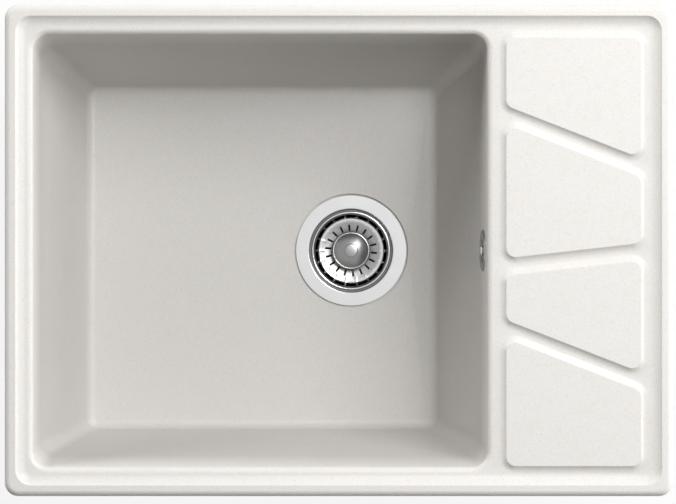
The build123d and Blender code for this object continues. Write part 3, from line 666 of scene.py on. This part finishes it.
def makeKnob():
    line = [(plug["stemHole"], plug["foot"]), (plug["neckRadius"], plug["foot"]),
            (plug["neckRadius"], plug["edgeBottom"])]
    line += [(plug["knobRadius"] - inwards, plug["edgeTop"] + up) for inwards, up in plug["rim"]]
    centre = plug["crown"] - plug["domeRadius"]
    groove = plug["discRadius"] + plug["grooveEdge"]
    for step in range(plug["domeSteps"] + 1):
        radius = plug["domeEdge"] + (groove - plug["domeEdge"]) * step / plug["domeSteps"]
        line.append((radius, centre + math.sqrt(plug["domeRadius"] ** 2 - radius ** 2)))
    line += [(plug["discRadius"] - inwards, plug["crown"] + up) for inwards, up in plug["groove"]]
    line += [(plug["discRadius"] - inwards, plug["top"] + up) for inwards, up in plug["disc"]]
    holeTop = plug["foot"] + plug["stemDepth"]
    line += [(0.0, holeTop), (plug["stemHole"], holeTop)]
    piece = turned("plugKnob", line, makeShadedStrainerSteel("knobSteel", plug["look"]), wasteAxis, 144)
    smooth(piece, 38)
    return settle(piece, "plug", "polished_steel", "plug_knob")


makeKnob()

# Overflow rosette: pressed round grating with slots between its spokes. The Z axis of its frame runs into
# the bowl's wall.
overflow = {"x": 147.8, "z": -32.0, "lean": 5.71, "sheet": 0.9, "copies": 8, "edgeWidth": 0.12,
            "profile": [(21.8, 0), (20.2, -1.6), (15.0, -1.6), (14.2, -1.1), (2.7, -1.1)],
            "bends": [0.8, 0.5, 0.5],
            "slotRadii": (13.5, 11.5, 8.5, 6.5), "slotHalf": 1.5, "slotEnd": 0.35,
            # colour: a darker steel than the polished steel, as painted shade
            "colour": (0.34, 0.34, 0.335, 1), "roughness": 0.24}
overflowFrame = Matrix.Identity(4)
leanTurn = math.radians(overflow["lean"])
overflowFrame.col[0][:3] = (-math.sin(leanTurn), 0, -math.cos(leanTurn))
overflowFrame.col[1][:3] = (0, 1, 0)
overflowFrame.col[2][:3] = (math.cos(leanTurn), 0, -math.sin(leanTurn))
overflowFrame.col[3][:3] = (overflow["x"], 0, overflow["z"])


def makeRosette():
    rows = splitAt(rounded(overflow["profile"], overflow["bends"], 4), overflow["slotRadii"])
    outer, inner = overflow["slotRadii"][0], overflow["slotRadii"][-1]
    first = next(row for row, (radius, height) in enumerate(rows) if radius == outer)
    last = next(row for row, (radius, height) in enumerate(rows) if radius == inner)
    step = 360 / overflow["copies"]

    def columns(row, radius):
        narrow = overflow["slotEnd"] if row in (first, last) else 1.0
        half = math.degrees(math.asin(overflow["slotHalf"] * narrow / max(radius, inner)))
        angles = (0, step / 4, step / 2 - half, step / 2, step / 2 + half, 3 * step / 4, step)
        return [(angle, 0) for angle in angles]

    def isOpen(row, column):
        return first <= row < last and column in (2, 3)

    finish = makeSteel("rosetteSteel", overflow["colour"], overflow["roughness"])
    piece = sector("overflowRosette", rows, columns, isOpen, finish)
    piece = ringOf(piece, overflow["copies"], overflowFrame, 0.005)
    thickened(piece, overflow["sheet"], -1.0)
    softened(piece, overflow["edgeWidth"])
    smooth(piece, 32)
    return settle(piece, "sink", "polished_steel", "overflow_rosette")


makeRosette()


# Rosette screw. Its head is a grid of rings, pressed in along two crossing grooves. The shank is a list of
# (radius, height above the head's seat) points.
rosetteScrew = {"seat": -1.6, "headRadius": 5.0, "headHeight": 1.8, "domePower": 2.6, "domeShare": 0.9,
                "rings": 26, "steps": 96, "grooveHalf": 0.62, "grooveSide": 0.22, "grooveReach": 3.0,
                "grooveEnd": 0.6, "grooveDepth": 1.1,
                "shank": [(5.0, 0.0), (2.5, 0.0), (2.5, 24.2), (1.7, 25.2)]}


def headHeight(across, along):
    share = min(1.0, math.hypot(across, along) / rosetteScrew["headRadius"])
    near, far = sorted((abs(across), abs(along)))
    side = max(0.0, min(1.0, (rosetteScrew["grooveHalf"] - near) / rosetteScrew["grooveSide"]))
    end = max(0.0, min(1.0, (rosetteScrew["grooveReach"] - far) / rosetteScrew["grooveEnd"]))
    fall = 1 - math.sqrt(1 - share ** rosetteScrew["domePower"])
    dome = rosetteScrew["headHeight"] * fall * rosetteScrew["domeShare"]
    return rosetteScrew["seat"] - rosetteScrew["headHeight"] + dome + rosetteScrew["grooveDepth"] * side * end


def makeRosetteScrew():
    steps = rosetteScrew["steps"]
    turns = [2 * math.pi * step / steps for step in range(steps)]
    vertices = []
    for ringIndex in range(rosetteScrew["rings"]):
        radius = rosetteScrew["headRadius"] * ringIndex / (rosetteScrew["rings"] - 1)
        for turn in turns:
            across, along = radius * math.cos(turn), radius * math.sin(turn)
            vertices.append((across, along, headHeight(across, along)))
    for radius, up in rosetteScrew["shank"]:
        height = rosetteScrew["seat"] + up
        vertices += [(radius * math.cos(turn), radius * math.sin(turn), height) for turn in turns]
    faces = []
    for low in range(0, len(vertices) - steps, steps):
        for step in range(steps):
            following = (step + 1) % steps
            faces.append((low + step, low + steps + step, low + steps + following, low + following))
    faces.append(tuple(range(len(vertices) - steps, len(vertices))))
    piece = linkMesh("rosetteScrew", vertices, faces, materials["polished_steel"], overflowFrame)
    cleanUp(piece, 1e-7, True)
    smooth(piece, 40)
    return settle(piece, "sink", "polished_steel", "rosette_screw")


makeRosetteScrew()

# Hose: ribbed tube on a smooth curve that the points of the solid's route guide
hose = {"route": [(171.78, 0, -68.57), (167.0, 0, -116.4), (166.0, 0, -180.0), (123.0, 0, -226.0),
                  (75.0, 0, -226.0)],
        "outer": 13.0, "root": 11.2, "bore": 9.6, "pitch": 5.0, "flatness": 0.75,
        "spotsPerRib": 10, "spotsPerBoreRing": 5, "steps": 56, "curveSteps": 48}


def routeLine(points):
    curve = bpy.data.curves.new("hoseRoute", "CURVE")
    curve.dimensions = "3D"
    curve.resolution_u = hose["curveSteps"]
    spline = curve.splines.new("NURBS")
    spline.points.add(len(points) - 1)
    for target, point in zip(spline.points, points):
        target.co = (point[0] * 0.001, point[1] * 0.001, point[2] * 0.001, 1)
    spline.order_u = 3
    spline.use_endpoint_u = True
    guide = bpy.data.objects.new("hoseRoute", curve)
    bpy.context.scene.collection.objects.link(guide)
    bpy.context.view_layer.update()
    mesh = bpy.data.meshes.new_from_object(guide.evaluated_get(bpy.context.evaluated_depsgraph_get()))
    line = [vertex.co.copy() for vertex in mesh.vertices]
    bpy.data.objects.remove(guide)
    bpy.data.meshes.remove(mesh)
    return line


# Evenly spaced (place, heading, distance) spots along a line, and its length
def alongLine(line, spacing):
    lengths = [0.0]
    for before, after in zip(line, line[1:]):
        lengths.append(lengths[-1] + (after - before).length)
    count = round(lengths[-1] / spacing)
    spots = []
    segment = 0
    for index in range(count + 1):
        goal = lengths[-1] * index / count
        while segment < len(line) - 2 and lengths[segment + 1] < goal:
            segment += 1
        share = (goal - lengths[segment]) / (lengths[segment + 1] - lengths[segment])
        place = line[segment].lerp(line[segment + 1], share)
        spots.append((place, (line[segment + 1] - line[segment]).normalized(), goal))
    return spots, lengths[-1]


def makeHose():
    line = routeLine(hose["route"])
    spots, length = alongLine(line, hose["pitch"] * 0.001 / hose["spotsPerRib"])
    pitch = length / round(length / (hose["pitch"] * 0.001))
    rings = []
    for place, heading, distance in spots:
        swell = 0.5 - hose["flatness"] * math.cos(2 * math.pi * (distance / pitch % 1.0))
        swell = min(1.0, max(0.0, swell))
        radius = hose["root"] + (hose["outer"] - hose["root"]) * swell * swell * (3 - 2 * swell)
        rings.append((place, heading, radius))
    boreSpots = reversed(spots[::hose["spotsPerBoreRing"]])
    rings += [(place, heading, hose["bore"]) for place, heading, distance in boreSpots]
    vertices = []
    faces = []
    steps = hose["steps"]
    side = Vector((0, 1, 0))
    for place, heading, radius in rings:
        lift = heading.cross(side).normalized()
        for step in range(steps):
            angle = 2 * math.pi * step / steps
            spoke = side * math.cos(angle) + lift * math.sin(angle)
            vertices.append(tuple(place * 1000 + spoke * radius))
    for ringIndex in range(len(rings)):
        nextRing = (ringIndex + 1) % len(rings)
        for step in range(steps):
            following = (step + 1) % steps
            faces.append((ringIndex * steps + step, ringIndex * steps + following,
                          nextRing * steps + following, nextRing * steps + step))
    piece = linkMesh("overflowHose", vertices, faces, materials["grey_plastic"])
    cleanUp(piece, 1e-7, True)
    smooth(piece, 50)
    settle(piece, "sink", "grey_plastic", "overflow_hose")
    return piece


# Matrix that stands a piece on a point, with its Z axis towards another point
def atEnd(point, towards):
    along = (Vector(towards) - Vector(point)).normalized()
    matrix = along.to_track_quat("Z", "X").to_matrix().to_4x4()
    matrix.translation = Vector(point)
    return matrix


# Hose collars: rubbery sleeves with grips round their middle
collar = {"radius": 14.5, "valley": 13.9, "bore": 13.02, "half": 10.0, "round": 1.0, "steps": 144,
          "gripEdge": 3.0, "gripRamp": 0.6, "gripSteps": 8, "gripWidth": 3}


def makeCollar(name, node, matrix):
    radius, half = collar["radius"], collar["half"]
    corners = [(collar["bore"], -half), (radius, -half), (radius, half), (collar["bore"], half)]
    line = rounded(corners, [collar["round"]] * 2, 3)
    gripTop = half - collar["gripEdge"]
    gripFull = gripTop - collar["gripRamp"]
    middle = len(line) // 2
    line[middle:middle] = [(radius, -gripTop), (radius, -gripFull), (radius, gripFull), (radius, gripTop)]

    def wave(step, reach, height):
        inGrip = abs(height) <= gripFull and reach > collar["bore"]
        isValley = inGrip and step % collar["gripSteps"] >= collar["gripWidth"]
        return collar["valley"] - radius if isValley else 0.0

    piece = turned(name, line, materials["black_plastic"], matrix, collar["steps"], wave)
    smooth(piece, 40)
    return settle(piece, "sink", "black_plastic", node)


upperCollar = makeCollar("upperCollar", "hose_collar_upper", atEnd(hose["route"][0], hose["route"][1]))
lowerCollar = makeCollar("lowerCollar", "hose_collar_lower", atEnd(hose["route"][-1], hose["route"][-2]))
makeHose()


# Screw threads: rows up a rod, whose radius rises and falls along a helix between two heights
def threadRows(radius, low, high, pitch, perTurn):
    count = round((high - low) / pitch * perTurn)
    return [(radius, low + (high - low) * step / count) for step in range(count + 1)]


def helix(radius, depth, low, high, pitch, steps):
    def wave(step, reach, height):
        if reach != radius:
            return 0.0
        if not low < height < high:
            return -depth
        phase = (height / pitch - step / steps) % 1.0
        return -depth * abs(2 * phase - 1)
    return wave


# Waste outlet: the funnel's tail is drawn in a little, and a piece of its own carries the thread round it
outlet = {"radius": 23.9, "depth": 1.1, "bore": 19.9, "top": -259.0, "foot": -279.0, "pitch": 2.31,
          "steps": 144, "rowsPerTurn": 8, "leadIn": 1.0, "leadOut": 1.2, "end": 1.4, "overlap": 0.2,
          "tailTop": -258.5, "tailRadius": 22.5, "drawnIn": 1.6}


def makeWasteFunnel():
    funnel = weldedCopy("waste_funnel", "wasteFunnel", "sink", 0.4)
    for vertex in funnel.data.vertices:
        across = Vector((vertex.co.x - waste["x"] * 0.001, vertex.co.y, 0))
        if vertex.co.z < outlet["tailTop"] * 0.001 and across.length > outlet["tailRadius"] * 0.001:
            vertex.co -= across.normalized() * outlet["drawnIn"] * 0.001
    low, high = outlet["foot"] + outlet["leadIn"], outlet["top"] - outlet["leadOut"]
    end, top = outlet["radius"] - outlet["end"], outlet["top"] + outlet["overlap"]
    rows = threadRows(outlet["radius"], low, high, outlet["pitch"], outlet["rowsPerTurn"])
    line = [(outlet["bore"], outlet["foot"]), (end, outlet["foot"])] + rows
    line += [(end, top), (outlet["bore"], top)]
    wave = helix(outlet["radius"], outlet["depth"], low, high, outlet["pitch"], outlet["steps"])
    thread = turned("outletThread", line, materials["white_plastic"], wasteAxis, outlet["steps"], wave)
    smooth(thread, 40)
    return settle(thread, "sink", "white_plastic")


makeWasteFunnel()
weldedCopy("waste_body", "wasteBody", "sink", 0.4)
weldedCopy("waste_spider", "wasteSpider", "sink", 0.4)
weldedCopy("overflow_elbow", "overflowElbow", "sink", 0.3)

# Clamps: bent strip brackets, and their screws with cut threads and slotted hexagon heads
clamp = {"sideX": 323, "sideY": 75, "backX": (-200, 110), "backY": 233,
         "radius": 2.5, "depth": 0.45, "pitch": 0.8, "steps": 20, "rowsPerTurn": 4, "end": -12.0,
         "leadIn": 0.2, "leadOut": 0.6, "endChamfer": 0.9, "rootDepth": 0.5, "rootSink": 1.0,
         "headTop": -58.0, "headHeight": 3.4, "headRadius": 4.6, "headChamfer": (0.6, 0.5),
         "slotHalf": 0.6, "slotDepth": 1.3}
sideX, backY = clamp["sideX"], clamp["backY"]
clampPlaces = [(x, y, 0) for y in (-clamp["sideY"], clamp["sideY"]) for x in (sideX, -sideX)]
clampPlaces += [(x, y, 0) for x in clamp["backX"] for y in (backY, -backY)]


def makeClampShank():
    radius, headTop = clamp["radius"], clamp["headTop"]
    low, high = headTop + clamp["leadIn"], clamp["end"] - clamp["leadOut"]
    line = [(0, headTop - clamp["rootSink"]), (radius - clamp["rootDepth"], headTop - clamp["rootSink"])]
    line += threadRows(radius, low, high, clamp["pitch"], clamp["rowsPerTurn"])
    line += [(radius - clamp["endChamfer"], clamp["end"]), (0, clamp["end"])]
    wave = helix(radius, clamp["depth"], low, high, clamp["pitch"], clamp["steps"])
    return turned("clampScrews", line, materials["zinc_steel"], None, clamp["steps"], wave)


def makeClampHead():
    radius, top = clamp["headRadius"], clamp["headTop"]
    foot = top - clamp["headHeight"]
    inwards, up = clamp["headChamfer"]
    vertices = []
    for reach, height in ((radius, top), (radius, foot + up), (radius - inwards, foot)):
        for corner in range(6):
            angle = math.radians(60 * corner)
            vertices.append((reach * math.cos(angle), reach * math.sin(angle), height))
    faces = [tuple(range(6)), tuple(range(17, 11, -1))]
    for ring in (0, 6):
        for corner in range(6):
            following = (corner + 1) % 6
            faces.append((ring + corner, ring + 6 + corner, ring + 6 + following, ring + following))
    head = linkMesh("clampHead", vertices, faces, materials["zinc_steel"])
    return cutSlot(head, clamp["slotHalf"], foot + clamp["slotDepth"])


def makeClampScrews():
    shank = makeClampShank()
    head = makeClampHead()
    joined = bmesh.new()
    joined.from_mesh(shank.data)
    joined.from_mesh(head.data)
    joined.to_mesh(shank.data)
    joined.free()
    bpy.data.objects.remove(head)
    piece = copied(shank, clampPlaces)
    smooth(piece, 35)
    return settle(piece, "sink", "zinc_steel", "clamp_screws")


# Slot across a screw head: a groove cut by two planes and pressed in to its depth
def cutSlot(head, half, floor):
    shape = bmesh.new()
    shape.from_mesh(head.data)
    for side in (-half, half):
        everything = shape.verts[:] + shape.edges[:] + shape.faces[:]
        bmesh.ops.bisect_plane(shape, geom=everything, plane_co=(0, side * 0.001, 0), plane_no=(0, 1, 0))
    groove = [face for face in shape.faces
              if abs(face.calc_center_median().y) < half * 0.0009 and face.normal.z * face.normal.z > 0.2
              and face.calc_center_median().z < floor * 0.001]
    pressed = bmesh.ops.extrude_face_region(shape, geom=groove)
    bmesh.ops.delete(shape, geom=groove, context="FACES")
    for vertex in [item for item in pressed["geom"] if isinstance(item, bmesh.types.BMVert)]:
        vertex.co.z = floor * 0.001
    bmesh.ops.recalc_face_normals(shape, faces=shape.faces)
    shape.to_mesh(head.data)
    shape.free()
    return head


makeClampScrews()
for number in range(1, len(clampPlaces) + 1):
    weldedCopy(f"clamp_bracket_{number}", f"clampBracket{number}", f"clamp_{number}", 0.25)
print("pieces made")


# Floor, light and camera. Each lamp is its azimuth, elevation and power.
studio = {"floorGap": 0.0005, "floorSize": 14.0, "floorShade": 0.12, "paper": (0.86, 0.86, 0.86, 1),
          "world": 0.04, "distance": 4.0, "lampSize": 1.6,
          "lamps": {"keyLamp": (42, 43, 64.0), "highLamp": (45, 68, 90.0), "eastLamp": (5, 7, 70.0),
                    "northWestLamp": (135, 14, 58.0), "southEastLamp": (315, 12, 8.0)}}
photo = {"width": 676, "metresPerPixel": 0.0010172, "distance": 7.2,
         "centreX": -0.0007, "centreY": -0.0015, "rimHeight": 0.010}


def makeWorld():
    world = bpy.data.worlds.new("studioWorld")
    bpy.context.scene.world = world
    finish = Finish("studioWorld", world)
    strength = finish.whiteRays() * (1.0 - studio["world"]) + studio["world"]
    sky = finish.add("ShaderNodeBackground", values={"Color": (1, 1, 1, 1), "Strength": strength})
    finish.finish(sky, "ShaderNodeOutputWorld")


def makeFloor(low):
    half = studio["floorSize"] / 2
    height = low - studio["floorGap"]
    corners = [(-half, -half, height), (half, -half, height), (half, half, height), (-half, half, height)]
    mesh = bpy.data.meshes.new("floor")
    mesh.from_pydata(corners, [], [(0, 1, 2, 3)])
    floor = bpy.data.objects.new("floor", mesh)
    bpy.context.scene.collection.objects.link(floor)
    finish = Finish("floorPaper")
    paper = finish.add("ShaderNodeBsdfDiffuse", values={"Color": studio["paper"]})
    glow = finish.add("ShaderNodeEmission", values={"Color": (1, 1, 1, 1), "Strength": 1.0})
    white = finish.whiteRays() * (1.0 - studio["floorShade"])
    blend = finish.add("ShaderNodeMixShader", values={0: white, 1: paper, 2: glow})
    mesh.materials.append(finish.finish(blend))


def addLamp(name, azimuth, elevation, power):
    lamp = bpy.data.lights.new(name, "AREA")
    lamp.shape = "DISK"
    lamp.size = studio["lampSize"]
    lamp.energy = power
    holder = bpy.data.objects.new(name, lamp)
    bpy.context.scene.collection.objects.link(holder)
    turn, rise = math.radians(azimuth), math.radians(elevation)
    along = Vector((math.cos(turn) * math.cos(rise), math.sin(turn) * math.cos(rise), math.sin(rise)))
    holder.location = along * studio["distance"]
    holder.rotation_euler = along.to_track_quat("Z", "Y").to_euler()


def addCamera():
    width = photo["width"] * photo["metresPerPixel"]
    lens = bpy.data.cameras.new("photoCamera")
    lens.lens = lens.sensor_width * photo["distance"] / width
    lens.clip_start = 0.1
    lens.clip_end = 50.0
    camera = bpy.data.objects.new("photoCamera", lens)
    bpy.context.scene.collection.objects.link(camera)
    camera.location = (photo["centreX"], photo["centreY"], photo["rimHeight"] + photo["distance"])
    bpy.context.scene.camera = camera


makeWorld()
makeFloor(cadBounds[0][2])
for lampName, (azimuth, elevation, power) in studio["lamps"].items():
    addLamp(lampName, azimuth, elevation, power)
addCamera()
bpy.context.scene.view_settings.view_transform = "Standard"
print("studio set")
